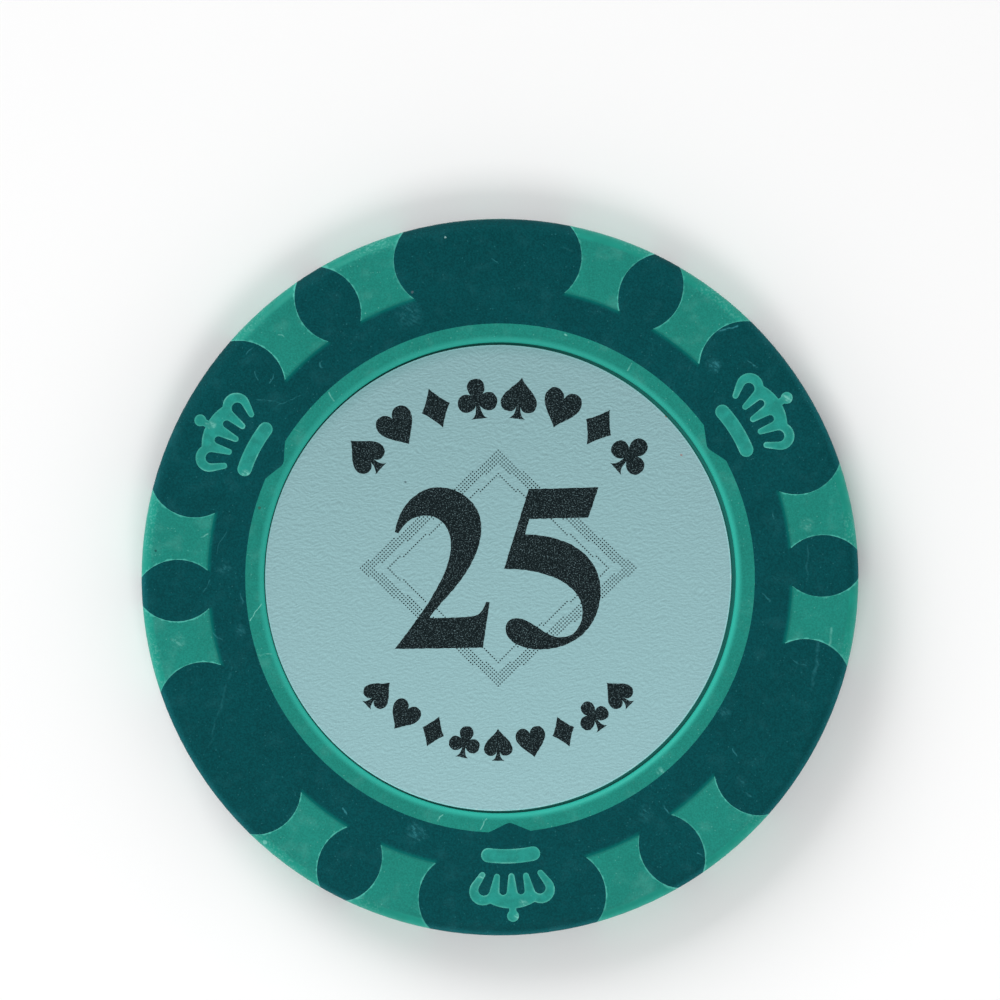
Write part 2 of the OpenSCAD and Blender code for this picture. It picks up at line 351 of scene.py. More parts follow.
    def stained(self, colour, stains):
        """The colour with small round stains of their own colours on the front face."""
        turned = self.turned(PATTERN_TURN)
        rough = self.node("ShaderNodeTexNoise", {"Vector": turned, "Scale": 9.0}).outputs["Color"]
        turned = self.vector("MULTIPLY_ADD", rough, (STAIN_WOBBLE, STAIN_WOBBLE, 0), turned)
        turned = self.flattened(turned)
        above = self.math("GREATER_THAN", self.z, MID_Z)
        for x, y, size, stain in stains:
            gap = self.vector("DISTANCE", turned, (x + STAIN_WOBBLE / 2, y + STAIN_WOBBLE / 2, 0))
            factor = self.math("MULTIPLY", self.span(gap, size, 0.5 * size, 0, 0.75), above)
            colour = self.mix(factor, colour, stain)
        return colour

    def wear(self, scratches, scuffs):
        """Strength of the marks on the front face, given across and up the picture."""
        turned = self.turned(PATTERN_TURN)
        wobble = self.node("ShaderNodeTexNoise", {"Vector": turned, "Scale": 1.3}).outputs["Color"]
        wobble = self.vector("SUBTRACT", wobble, (0.5, 0.5, 0.5))
        turned = self.vector("MULTIPLY_ADD", wobble, (SCRATCH_WOBBLE, SCRATCH_WOBBLE, 0), turned)
        total = None
        for x0, y0, x1, y1, width, strength in scratches:
            made = self.node("ShaderNodeGroup", node_tree=mark_group())
            self.plug(made.inputs["Place"], turned)
            made.inputs["Start"].default_value = (x0, y0, CHIP_T)
            made.inputs["End"].default_value = (x1, y1, CHIP_T)
            made.inputs["Width"].default_value = SCRATCH_WIDTH * width
            made.inputs["Strength"].default_value = SCRATCH_STRENGTH * strength
            total = self.math("MAXIMUM", total, made.outputs[0]) if total else made.outputs[0]
        broken = self.span(self.noise(3, 4), 0.34, 0.56, 0.15, 1.0)
        total = self.math("MULTIPLY", total, broken)
        streaks = self.noise(1, 5, SCUFF_STRETCH, place=self.turned(SCUFF_SLANT))
        streaks = self.span(streaks, 0.45, 0.66, 0.1, 0.72)
        for x, y, size, strength in scuffs:
            gap = self.vector("DISTANCE", turned, (x, y, CHIP_T))
            patch = self.span(gap, size, 0.2 * size, 0, strength)
            total = self.math("MAXIMUM", total, self.math("MULTIPLY", patch, streaks))
        return total


def mark_group():
    """A node group for a scratch between two points, strongest on the line and 0 beyond its width."""
    name = "scratch_mark"
    if name in bpy.data.node_groups:
        return bpy.data.node_groups[name]
    group = bpy.data.node_groups.new(name, "ShaderNodeTree")
    for socket, kind in (("Place", "Vector"), ("Start", "Vector"), ("End", "Vector"),
                         ("Width", "Float"), ("Strength", "Float")):
        group.interface.new_socket(socket, in_out="INPUT", socket_type="NodeSocket" + kind)
    group.interface.new_socket("Factor", in_out="OUTPUT", socket_type="NodeSocketFloat")
    given = group.nodes.new("NodeGroupInput").outputs
    result = group.nodes.new("NodeGroupOutput").inputs[0]

    def step(kind, operation, *inputs):
        made = group.nodes.new(kind)
        made.operation = operation
        for i, value in enumerate(inputs):
            if isinstance(value, bpy.types.NodeSocket):
                group.links.new(value, made.inputs[i])
            else:
                made.inputs[i].default_value = value
        return made

    def vector(operation, *inputs):
        return step("ShaderNodeVectorMath", operation, *inputs)

    def scalar(operation, *inputs):
        return step("ShaderNodeMath", operation, *inputs).outputs[0]

    run = vector("SUBTRACT", given["End"], given["Start"]).outputs[0]
    off = vector("SUBTRACT", given["Place"], given["Start"]).outputs[0]
    length = vector("DOT_PRODUCT", run, run).outputs[1]
    share = scalar("DIVIDE", vector("DOT_PRODUCT", off, run).outputs[1], length)
    share = scalar("MINIMUM", scalar("MAXIMUM", share, 0.0), 1.0)
    nearest = vector("SCALE", run).outputs[0]
    group.links.new(share, nearest.node.inputs[3])
    gap = vector("DISTANCE", off, nearest).outputs[1]
    line = scalar("SUBTRACT", 1.0, scalar("DIVIDE", gap, given["Width"]))
    line = scalar("MAXIMUM", line, 0.0)
    group.links.new(scalar("MULTIPLY", line, given["Strength"]), result)
    return group


# Marks of use on the front face, in millimetres across and up the picture from the chip's centre.
# Scratches run from x, y to x, y and have a width and a strength.
DARK_SCRATCHES = [
    (11.93, 13.68, 13.18, 14.01, 0.10, 1.0),
    (-13.67, 11.50, -13.44, 11.04, 0.07, 0.7),
    (-12.85, 10.88, -12.62, 11.38, 0.07, 0.6),
    (-13.53, 9.93, -12.14, 9.71, 0.06, 0.5),
    (-12.35, 9.60, -11.12, 10.21, 0.06, 0.5),
    (-10.00, 12.00, -9.89, 11.77, 0.10, 0.7),
    (-14.14, 12.48, -13.72, 12.85, 0.07, 0.6),
    (-0.49, 17.79, -0.26, 17.57, 0.07, 0.6),
    (13.77, 12.11, 14.23, 11.73, 0.08, 0.8),
    (15.40, 11.95, 15.70, 12.15, 0.08, 0.8),
    (-15.85, 1.41, -15.24, 2.58, 0.07, 0.4),
    (-15.97, -3.10, -15.30, -3.60, 0.07, 0.5),
    (-14.91, -4.89, -16.24, -9.34, 0.14, 0.17),
    (-16.55, -0.87, -16.19, -0.09, 0.07, 0.5),
    (-14.42, -0.93, -14.42, -1.43, 0.08, 0.5),
    (17.71, -3.66, 17.39, -6.28, 0.22, 0.35),
    (17.11, 1.91, 17.15, -0.15, 0.14, 0.25),
    (14.65, -0.87, 15.06, -1.32, 0.07, 0.5),
    (15.12, 3.75, 15.23, 3.36, 0.08, 0.6),
    (16.29, -4.50, 17.13, -5.00, 0.06, 0.4),
    (-8.78, -12.85, -8.56, -13.24, 0.08, 0.9),
    (-11.51, -11.85, -11.45, -12.13, 0.07, 0.7),
    (9.16, -12.74, 9.35, -13.10, 0.08, 0.8),
    (10.94, -15.36, 11.33, -15.61, 0.08, 0.8),
    (13.49, -11.85, 14.05, -12.18, 0.08, 0.7),
    (12.97, -9.44, 13.21, -9.90, 0.08, 0.6),
]
LIGHT_SCRATCHES = [
    (-9.59, 10.34, -9.26, 9.88, 0.09, 0.8),
    (-13.96, -2.32, -13.07, -1.15, 0.07, 1.0),
    (-13.35, -4.33, -12.62, -4.22, 0.07, 0.7),
    (-3.46, -13.58, -3.18, -13.19, 0.09, 0.7),
    (-1.09, -14.02, -0.76, -13.41, 0.08, 0.7),
    (3.50, 13.59, 3.60, 13.57, 0.13, 1.0),
    (7.15, 11.60, 7.32, 11.88, 0.09, 0.7),
    (-16.58, 2.36, -16.36, 2.41, 0.09, 0.7),
    (18.50, -2.82, 18.30, -3.88, 0.18, 0.4),
    (-12.35, 13.64, -12.07, 13.50, 0.07, 0.6),
]
# Stains have a centre, a size and a colour
DARK_STAINS = [
    (-4.88, 15.94, 0.09, srgb(84, 100, 108)),
    (-3.04, 19.01, 0.07, srgb(150, 190, 188)),
]
LIGHT_STAINS = [
    (-13.40, 3.92, 0.11, srgb(58, 82, 70)),
    (-19.18, 1.52, 0.10, srgb(14, 72, 68)),
    (-13.12, -14.75, 0.16, srgb(120, 200, 186)),
]
LABEL_STAINS = [
    (10.10, 6.87, 0.09, srgb(150, 112, 108)),
    (9.27, 9.04, 0.12, srgb(150, 110, 72)),
    (-5.27, 5.36, 0.08, srgb(70, 92, 98)),
]
# Scuffs have a centre, a size and a strength
DARK_SCUFFS = [
    (-4.66, -14.19, 0.75, 0.75),
    (-15.35, 0.52, 0.60, 0.45),
    (-14.46, -2.94, 0.45, 0.45),
    (8.19, -13.13, 0.60, 0.45),
    (11.89, 11.83, 0.50, 0.85),
    (-5.10, 14.67, 1.00, 0.35),
    (12.50, -7.50, 0.45, 0.40),
    (13.49, -11.29, 0.40, 0.45),
]
LIGHT_SCUFFS = [
    (-17.97, -3.49, 0.60, 0.40),
    (8.94, -10.79, 0.30, 0.70),
    (17.07, 2.97, 0.50, 0.35),
    (-16.10, 8.56, 0.32, 0.80),
    (-14.11, 5.83, 0.35, 0.90),
    (15.97, 10.03, 0.40, 0.90),
    (-0.99, -16.58, 0.35, 0.90),
    (1.33, -18.21, 0.40, 0.90),
    (0.96, -18.92, 0.30, 0.90),
]


def moulded_plastic(look, base, worn, haze_level, grain_level, seed):
    """Colour and grain of matte filled plastic, with pale and dark specks and hairline scratches."""
    shift = tuple(seed * step for step in SEED_SHIFT)
    cloud = look.noise(0.35, 3, offset=shift)
    grain = look.noise(11, 3, offset=shift)
    colour = look.shade(base, look.span(cloud, 0.3, 0.7, 0.95, 1.05))
    colour = look.shade(colour, look.span(grain, 0.28, 0.72, 1 - grain_level, 1 + grain_level))
    haze = look.noise(0.9, 5, offset=shift)
    colour = look.mix(look.span(haze, 0.5, 0.78, 0, haze_level), colour, worn)
    for specks, tone in ((FINE_SPECKS, worn), (COARSE_SPECKS, worn), (DARK_SPECKS, SPECK)):
        colour = look.mix(look.specks(*specks, shift), colour, tone)
    lines = look.math("MAXIMUM", *(look.hairlines(turn, seed + apart) for turn, apart in HAIRLINE_SETS))
    colour = look.mix(look.math("MULTIPLY", lines, HAIRLINE_STRENGTH), colour, worn)
    return colour, grain


def dark_plastic():
    """The dark shot: band, lobes and ovals."""
    look = Look("dark_plastic")
    radius = look.radius()
    angle = look.folded_angle()
    inside = look.inside_flanks(radius, angle)
    colour, grain = moulded_plastic(look, DARK, DARK_WORN, haze_level=0.09, grain_level=0.21, seed=1)
    # The band thins out over the light shot towards the inner end of each spot
    thin = look.span(radius, THIN_FROM_R, THIN_FULL_R, 0, 0.5)
    under_band = look.math("LESS_THAN", radius, BAND_TO_R)
    beside_lobe = look.math("LESS_THAN", angle, math.radians(SOFT_END_TO))
    thin = look.product(thin, look.span(inside, -0.05, 0.12), under_band, beside_lobe)
    colour = look.mix(thin, colour, THIN_BAND)
    # Flash of the light shot on the edge of the lobes and ovals
    uneven = look.noise(3.5, 3)
    flash = look.span(inside, look.span(uneven, 0.35, 0.75, -0.01, -0.06), 0.0)
    outside_band = look.math("GREATER_THAN", radius, LOBE_FROM_R)
    spot_side = look.math("LESS_THAN", angle, math.radians(SPOT_ANGLE + FLANK_ANGLE))
    flash = look.product(flash, outside_band, spot_side)
    colour = look.mix(look.math("MULTIPLY", flash, 0.4), colour, FLASH)
    height = look.from_middle()
    # Painted highlight on the rounded edges of the rim, with a little painted shade at the top
    colour = look.shade(colour, look.rim_edge_highlight(radius, height, DARK_RIM_HIGHLIGHT_GAIN))
    colour = look.mix(look.wear(DARK_SCRATCHES, DARK_SCUFFS), colour, DARK_SCRATCH)
    # Painted highlight on the floor of the gap round the label, as if the lit lip reached down to it
    on_floor = look.span(height, FLOOR_FROM, FLOOR_FULL)
    floor_highlit = look.product(on_floor, look.span(radius, FLOOR_HIGHLIGHT_FROM_R, FLOOR_HIGHLIGHT_FULL_R))
    colour = look.mix(floor_highlit, colour, FLOOR_HIGHLIGHT)
    colour = look.stained(colour, DARK_STAINS)
    look.bump(grain, GRAIN_DEPTH)
    return look.finish(colour, roughness=look.span(grain, 0.2, 0.8, 0.5, 0.65), specular=0.03)


def light_plastic():
    """The light shot: rings, rim spots, dashes, crowns and bars."""
    look = Look("light_plastic")
    radius = look.radius()
    angle = look.folded_angle()
    inside = look.inside_flanks(radius, angle)
    height = look.from_middle()
    flat = look.span(height, FACE_FROM, FACE_FULL)
    worn, grain = moulded_plastic(look, LIGHT_FLAT, LIGHT_WORN, haze_level=0.14, grain_level=0.13, seed=2)
    smooth = look.shade(LIGHT_SMOOTH, look.span(look.noise(1.1, 3), 0.3, 0.7, 0.93, 1.07))
    colour = look.mix(flat, smooth, worn)
    # Painted highlight on the rounded lip of the ring, where light catches its slope
    lip_highlight = look.span(radius, LIP_HIGHLIGHT_TO_R, LIP_HIGHLIGHT_FULL_R, 0, 0.85)
    colour = look.mix(lip_highlight, colour, LIP_HIGHLIGHT)
    # Painted shade on the lower wall of the gap round the label
    on_wall = look.span(height, WALL_FROM, WALL_FULL)
    wall_shaded = look.product(on_wall, look.span(radius, WALL_SHADE_FROM_R, WALL_SHADE_FULL_R))
    colour = look.mix(wall_shaded, colour, WALL_SHADE)
    # Painted highlight on the rounded edges of the rim, with a little painted shade at the top
    colour = look.shade(colour, look.rim_edge_highlight(radius, height, LIGHT_RIM_HIGHLIGHT_GAIN))
    # The dark band is drawn thinly over the inner end of each spot
    on_spot = look.math("GREATER_THAN", radius, SPOT_FROM_R)
    beside_lobe = look.math("LESS_THAN", angle, math.radians(FLASH_TO))
    veil = look.span(radius, VEIL_FROM_R, VEIL_FULL_R, 0, 0.45)
    colour = look.mix(look.product(veil, on_spot, beside_lobe), colour, DARK)
    # Pale flash along the flanks, heaviest where they run over the rim
    uneven = look.noise(3.5, 3)
    width = look.span(uneven, 0.35, 0.75, 0.02, 0.15)
    width = look.math("MULTIPLY", width, look.span(radius, RIM_R - 1.1, RIM_R - 0.4, 1.0, 1.6))
    flash = look.product(look.span(inside, width, 0.0), on_spot, beside_lobe)
    heavy = look.span(look.noise(0.4, 2), 0.35, 0.6, 0.4, 0.95)
    colour = look.mix(look.math("MULTIPLY", flash, heavy), colour, FLASH)
    # Chalky flecks where the edges of the rim have been knocked
    flecks = look.span(look.noise(8, 4), 0.48, 0.66)
    knocked = look.span(look.noise(0.25, 1), 0.44, 0.6)
    near_rim = look.span(radius, RIM_R - 0.9, RIM_R - 0.2)
    chalky = look.product(near_rim, flecks, knocked, look.rim_edge(height), 0.36)
    colour = look.mix(chalky, colour, LIGHT_WORN)
    # The parting line round the rim, and the line along the middle of each dash
    on_rim = look.math("GREATER_THAN", radius, RIM_R - 0.15)
    on_dash = look.math("GREATER_THAN", angle, math.radians(DASH_FROM))
    parting = look.span(look.math("ABSOLUTE", look.math("SUBTRACT", look.z, PARTING_Z)), 0.07, 0.02)
    middle = look.product(look.span(height, 0.09, 0.03), on_dash)
    lines = look.product(look.math("MAXIMUM", parting, middle), on_rim, 0.55)
    colour = look.mix(lines, colour, FLASH)
    # The crowns and bars are a little paler than the spots and mottled, with soft pale edges
    on_crown = look.math("GREATER_THAN", angle, math.radians(SPOT_ANGLE + FLANK_ANGLE))
    on_crown = look.product(on_crown, look.math("GREATER_THAN", radius, CROWN_FROM_R), flat)
    mottled = look.span(look.noise(2.2, 3), 0.3, 0.7, 0.88, 1.13)
    colour = look.mix(on_crown, colour, look.shade(look.mix(0.5, colour, CROWN), mottled))
    heavy = look.span(look.noise(1.3, 2), 0.5, 0.68)
    pale = look.mix(heavy, OUTLINE, OUTLINE_HEAVY)
    colour = look.mix(look.product(look.edge(CROWN_EDGE_W), on_crown, 0.65), colour, pale)
    colour = look.mix(look.wear(LIGHT_SCRATCHES, LIGHT_SCUFFS), colour, LIGHT_SCRATCH)
    colour = look.stained(colour, LIGHT_STAINS)
    look.bump(look.math("MULTIPLY", grain, flat), GRAIN_DEPTH)
    return look.finish(colour, roughness=look.span(flat, 0, 1, 0.4, 0.58), specular=0.08)


CREASE_STRETCH = (3.8, 9.0, 1)
CREASE_AT = (3, 8, 0)
CREASE_BELOW = (3.1, 8.5, 0)
CREASE_BEND = (0, 0.9, 0)
CREASE_DEPTH = 0.025
LABEL_LEVEL = 0.975
# How much the painted light on the label changes per millimetre up the picture
LABEL_LIGHT_FALL_PER_MM = -0.0072
LABEL_REACH = 12
# Along the upward and downward directions: where the painted shade of the recess wall sets in, and how far
# the painted light on the cut edge and its fibres reaches
SHADE_FROM = 8.5
SHADE_FULL = 13.0
CUT_REACH = 20
FIBRE_REACH = 12
SHADE_STRENGTH = 0.26
CUT_STRENGTH = 0.6
FIBRE_STRENGTH = 0.7


def label_film(name, centre_x, radius):
    """Printed paper under a clear film embossed with short level creases, with painted light and shade on
    the creases and at the edge.
    """
    look = Look(name)
    bent = look.noise(0.6, 2)
    bent = look.node("ShaderNodeCombineXYZ", {"Y": bent}).outputs[0]
    place = look.vector("MULTIPLY_ADD", bent, CREASE_BEND, look.place)
    crease = look.noise(1.0, 2, CREASE_STRETCH, CREASE_AT, place)
    # The crease pattern less the same pattern shifted down gives painted light and shade on the sides of
    # the creases, strongest towards the top
    below = look.noise(1.0, 2, CREASE_STRETCH, CREASE_BELOW, place)
    strength = look.span(look.y, -LABEL_REACH, LABEL_REACH, 0.5, 0.85)
    crease_light_and_shade = look.product(look.math("SUBTRACT", crease, below), strength)
    fine = look.noise(12, 2)
    # Painted light: the label is darker towards the top of the picture and lighter towards the bottom
    light_fall = look.math("MULTIPLY_ADD", look.y, LABEL_LIGHT_FALL_PER_MM, LABEL_LEVEL)
    colour = look.shade(PAPER, light_fall)
    colour = look.shade(colour, look.span(crease_light_and_shade, -0.3, 0.3, 0.84, 1.16))
    colour = look.shade(colour, look.span(fine, 0.3, 0.7, 0.95, 1.05))
    colour = look.mix(look.specks(*PAPER_SPECKS), colour, PAPER_SPECK)
    from_centre = look.vector("DISTANCE", look.flattened(look.place), (centre_x, 0, 0))
    # Painted shade on the upper edge, where the recess wall would shade it. The pale cut edge has a
    # painted highlight and a painted reflection of the ring, brightest at the lower right, where pale
    # fibres show on the lit side
    near_edge = look.span(from_centre, radius - 0.8, radius)
    shaded = look.product(near_edge, look.span(look.upward(), SHADE_FROM, SHADE_FULL), SHADE_STRENGTH)
    colour = look.mix(shaded, colour, PAPER_SHADED)
    cut = look.span(from_centre, radius - 0.1, radius - 0.02)
    downward = look.downward()
    cut_and_highlight = look.shade(PAPER_CUT_AND_REFLECTION, look.span(downward, -CUT_REACH, CUT_REACH, 0.78, 1.25))
    colour = look.mix(look.math("MULTIPLY", cut, CUT_STRENGTH), colour, cut_and_highlight)
    fibres = look.span(look.noise(5, 2), 0.58, 0.7)
    lit = look.span(downward, -FIBRE_REACH, FIBRE_REACH)
    fibres = look.product(cut, fibres, lit, FIBRE_STRENGTH)
    colour = look.mix(fibres, colour, PAPER_FIBRE)
    colour = look.stained(colour, LABEL_STAINS)
    look.bump(crease, CREASE_DEPTH)
    return look.finish(colour, roughness=0.5, specular=0.12)


def ink():
    """Black print with the fine glints that it has on embossed film."""
    look = Look("ink")
    glint = look.noise(15, 2)
    colour = look.mix(look.span(glint, 0.52, 0.76), INK, INK_GLINT)
    look.bump(glint, GLINT_DEPTH)
    return look.finish(colour, roughness=0.5, specular=0.1)


def adhesive():
    """Hazy adhesive under a label."""
    look = Look("label_adhesive")
    haze = look.noise(3, 2)
    colour = look.mix(haze, GLUE, GLUE_PALE)
    return look.finish(colour, roughness=0.45, specular=0.3)


def steel():
    """Brushed steel of the slug."""
    look = Look("slug_steel")
    brushed = look.noise(1, 3, BRUSHED_STRETCH)
    colour = look.mix(brushed, STEEL, STEEL_PALE)
    look.shader.inputs["Metallic"].default_value = 1.0
    return look.finish(colour, roughness=look.span(brushed, 0.2, 0.8, 0.3, 0.45), specular=0.5)


def dress(piece, material):
    piece.data.materials.clear()
    piece.data.materials.append(material)


# Mesh pieces

def new_piece(name, mesh_builder, material):
    """A mesh object on the chip's body, with a material and a material slot."""
    bm = bmesh.new()
    mesh_builder(bm)
    bmesh.ops.recalc_face_normals(bm, faces=bm.faces)
    mesh = bpy.data.meshes.new(name)
    bm.to_mesh(mesh)
    bm.free()
    piece = bpy.data.objects.new(name, mesh)
    bpy.context.scene.collection.objects.link(piece)
    dress(piece, material)
    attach(piece, BODY)
    return piece


def bezier(start, handle_a, handle_b, end, steps):
    """Points along a cubic curve, without its end point."""
    points = []
    for i in range(steps):
        t = i / steps
        u = 1 - t
        points.append(
            Vector(start) * u ** 3 + Vector(handle_a) * 3 * u * u * t
            + Vector(handle_b) * 3 * u * t * t + Vector(end) * t ** 3
        )
    return points


def outline(start, segments, steps=12):
    """An outline from corners (x, y) and curves (handle, handle, end), without its end point."""
    points = []
    at = start
    for segment in segments:
        if isinstance(segment[0], tuple):
            points += bezier(at, *segment, steps)
            at = segment[2]
        else:
            points.append(Vector(at))
            at = segment
    return points


def mirrored(start, segments):
    """A closed outline from its right half, whose two ends lie on the middle line."""
    half = outline(start, segments)
    last = segments[-1][2] if isinstance(segments[-1][0], tuple) else segments[-1]
    left = [Vector((-p.x, p.y)) for p in reversed(half[1:])]
    return half + [Vector(last)] + left


RAGGED_STEP = 0.06
RAGGED_DEPTH = 0.022
RAGGED_SCALE = 5
# Without a seed of its own the noise would differ from run to run
RAGGED_SEED = 1
noise.seed_set(RAGGED_SEED)


def ragged_edge(points):
    """The outline with the slightly uneven edge that ink has on creased film."""
    made = []
    for a, b in zip(points, points[1:] + points[:1]):
        count = max(1, round((b - a).length / RAGGED_STEP))
        for i in range(count):
            p = a + (b - a) * i / count
            at = (p.x * RAGGED_SCALE, p.y * RAGGED_SCALE, 0.5)
            made.append(p + RAGGED_DEPTH * noise.noise_vector(at).to_2d())
    return made


def add_plate(bm, points, low, high):
    """A thin closed plate of the given outline, from z = low to z = high."""
    faces = tessellate_polygon([[p.to_3d() for p in points]])
    under = [bm.verts.new((p.x * MM, p.y * MM, low * MM)) for p in points]
    upper = [bm.verts.new((p.x * MM, p.y * MM, high * MM)) for p in points]
    for face in faces:
        bm.faces.new([upper[i] for i in face])
        bm.faces.new([under[i] for i in reversed(face)])
    count = len(points)
    for i in range(count):
        j = (i + 1) % count
        bm.faces.new((under[i], under[j], upper[j], upper[i]))


# The numerals, in millimetres from the lower left of the 2
NUMERAL_H = 9.02
NUMERAL_PLACE = (-5.77, -3.95)
TWO = (
    (0.01, 6.51),
    [
        ((0.20, 7.94), (1.24, 9.02), (2.42, 9.02)),
        ((3.77, 9.02), (4.83, 8.02), (4.83, 6.79)),
        ((4.83, 5.64), (4.26, 4.58), (3.44, 3.52)),
        ((2.95, 2.91), (2.38, 2.38), (1.90, 1.73)),
        ((2.87, 1.71), (3.85, 1.77), (4.38, 1.83)),
        ((4.83, 1.90), (4.95, 2.26), (5.09, 2.61)),
        (5.29, 2.61),
        (4.92, 0.07),
        (0.0, 0.0),
        ((0.66, 0.84), (1.44, 1.90), (1.98, 2.75)),
        ((2.62, 3.81), (3.13, 4.80), (3.13, 5.82)),
        ((3.13, 6.80), (2.54, 7.44), (1.76, 7.44)),
        ((1.07, 7.44), (0.51, 7.08), (0.21, 6.44)),
        (0.01, 6.51),
    ],
)
FIVE = (
    (7.48, 8.92),
    [
        (11.36, 9.02),
        (10.79, 7.33),
        (7.50, 7.25),
        (7.26, 6.39),
        ((9.64, 6.39), (11.48, 5.24), (11.48, 3.24)),
        ((11.48, 1.16), (9.93, -0.03), (8.09, -0.03)),
        ((6.94, -0.03), (6.18, 0.51), (6.18, 1.12)),
        ((6.18, 1.49), (6.41, 1.72), (6.80, 1.72)),
        ((7.64, 1.72), (8.33, 0.65), (9.27, 0.65)),
        ((10.01, 0.65), (10.47, 1.24), (10.47, 2.06)),
        ((10.47, 3.45), (8.82, 4.47), (6.09, 4.47)),
        (7.48, 8.92),
    ],
)

# Card pips one unit high: the right half of each, from top to bottom
STEM = [((0.06, -0.36), (0.10, -0.46), (0.20, -0.50)), (0.0, -0.50)]
SPADE = ((0.0, 0.50), [
    ((0.12, 0.28), (0.44, 0.12), (0.44, -0.12)),
    ((0.44, -0.26), (0.34, -0.34), (0.22, -0.34)),
    ((0.13, -0.34), (0.07, -0.29), (0.05, -0.20)),
] + STEM)
HEART = ((0.0, 0.24), [
    ((0.02, 0.34), (0.11, 0.44), (0.23, 0.44)),
    ((0.36, 0.44), (0.46, 0.34), (0.46, 0.18)),
    ((0.46, -0.08), (0.12, -0.30), (0.0, -0.50)),
])
DIAMOND = ((0.0, 0.50), [
    ((0.10, 0.32), (0.22, 0.14), (0.36, 0.0)),
    ((0.22, -0.14), (0.10, -0.32), (0.0, -0.50)),
])
CLUB = ((0.0, 0.48), [
    ((0.13, 0.48), (0.21, 0.38), (0.21, 0.27)),
    ((0.21, 0.19), (0.18, 0.12), (0.12, 0.07)),
    ((0.16, 0.10), (0.21, 0.12), (0.28, 0.12)),
    ((0.40, 0.12), (0.48, 0.02), (0.48, -0.10)),
    ((0.48, -0.22), (0.40, -0.32), (0.28, -0.32)),
    ((0.18, -0.32), (0.09, -0.27), (0.05, -0.18)),
] + STEM)
SUITS = (SPADE, HEART, DIAMOND, CLUB)
UPPER_ROW = {"count": 8, "radius": 10.1, "from": 137.0, "to": 43.0, "height": 2.3, "turn": -90}
LOWER_ROW = {"count": 9, "radius": 9.3, "from": 224.0, "to": 316.0, "height": 1.8, "turn": 90}

# Halftone lozenge behind the numerals
LOZENGE_HALF = (7.3, 6.2)
LOZENGE_STROKES = ((0.0, 0.30), (-0.75, 0.08))
DOT_PITCH = 0.155
DOT_R = 0.044
DOT_SIDES = 6
INK_T = 0.004


def numeral_outlines():
    return [[p + Vector(NUMERAL_PLACE) for p in outline(*glyph)] for glyph in (TWO, FIVE)]


def pip_outlines(row):
    """The outlines of a row of pips on an arc, one suit after the other."""
    made = []
    for i in range(row["count"]):
        angle = row["from"] + (row["to"] - row["from"]) * i / (row["count"] - 1)
        turn = Matrix.Rotation(math.radians(angle + row["turn"]), 2)
        place = Vector((math.cos(math.radians(angle)), math.sin(math.radians(angle)))) * row["radius"]
        made.append([turn @ (p * row["height"]) + place for p in mirrored(*SUITS[i % len(SUITS)])])
    return made


def lies_inside(point, polygon):
    """Whether a ray to the right of the point crosses the polygon an odd number of times."""
    hit = False
    for a, b in zip(polygon, polygon[1:] + polygon[:1]):
        if (a.y > point.y) != (b.y > point.y):
            if point.x < (b.x - a.x) * (point.y - a.y) / (b.y - a.y) + a.x:
                hit = not hit
    return hit


def halftone_dots(solid_shapes):
    """Dots on a diagonal screen that fall on the lozenge's strokes and clear of the numerals."""
    a, b = LOZENGE_HALF
    centre = Vector((0.0, NUMERAL_PLACE[1] + NUMERAL_H / 2))
    per_unit = a * b / math.hypot(a, b)
    reach = int((a + b) / DOT_PITCH)
    dots = []
    for i in range(-reach, reach + 1):
        for j in range(-reach, reach + 1):
            p = Vector((i + j, i - j)) * DOT_PITCH * math.sqrt(0.5)
            off = (abs(p.x) / a + abs(p.y) / b - 1) * per_unit
            if not any(abs(off - line) < half for line, half in LOZENGE_STROKES):
                continue
            if not any(lies_inside(p + centre, shape) for shape in solid_shapes):
                dots.append(p + centre)
    return dots


def print_label(face, place, material):
    """The print of one label as three ink pieces. place moves a label point into the chip's frame."""
    numerals = numeral_outlines()
    pips = pip_outlines(UPPER_ROW) + pip_outlines(LOWER_ROW)
    turns = [2 * math.pi * i / DOT_SIDES for i in range(DOT_SIDES)]
    ring = [Vector((math.cos(a), math.sin(a))) * DOT_R for a in turns]
    dots = [[p + q for q in ring] for p in halftone_dots(numerals)]
    solid = [ragged_edge(shape) for shape in numerals]
    small = [ragged_edge(shape) for shape in pips]
    for name, shapes in (("numerals", solid), ("pips", small), ("halftone", dots)):
        def build(bm):
            for shape in shapes:
                add_plate(bm, shape, 0.0, INK_T)
            bm.transform(place)
        new_piece(f"{face}_label_{name}", build, material)


ROUND_STEPS = 256
LABEL_EDGE = ((-0.10, 0.0), (-0.05, -0.006), (-0.015, -0.02), (0.0, -0.05))


def turned_rings(bm, profile):
    """Rings of points that a profile of (radius, height) pairs passes through when turned round Z."""
    rings = []
    for r, z in profile:
        ring = []
        for i in range(ROUND_STEPS):
            a = 2 * math.pi * i / ROUND_STEPS
            ring.append(bm.verts.new((r * math.cos(a) * MM, r * math.sin(a) * MM, z * MM)))
        rings.append(ring)
    return rings


def join_rings(bm, rings):
    """Faces between each ring and the next."""
    for one, other in zip(rings, rings[1:]):
        for i in range(ROUND_STEPS):
            j = (i + 1) % ROUND_STEPS
            bm.faces.new((one[i], one[j], other[j], other[i]))


def label_disc(bm, radius, thick):
    """A die-cut label whose top edge is pressed slightly round."""
    profile = [(radius + dr, dz) for dr, dz in LABEL_EDGE] + [(radius, -thick)]
    rings = turned_rings(bm, profile)
    join_rings(bm, rings)
    bm.faces.new(rings[0])
    bm.faces.new(list(reversed(rings[-1])))


LIP_STEPS = 10
LIP_FOOT = -0.39
LIP_SINK = -0.0005
LIP_OUTER_R = LIP_R + LIP_ROUND + 0.085
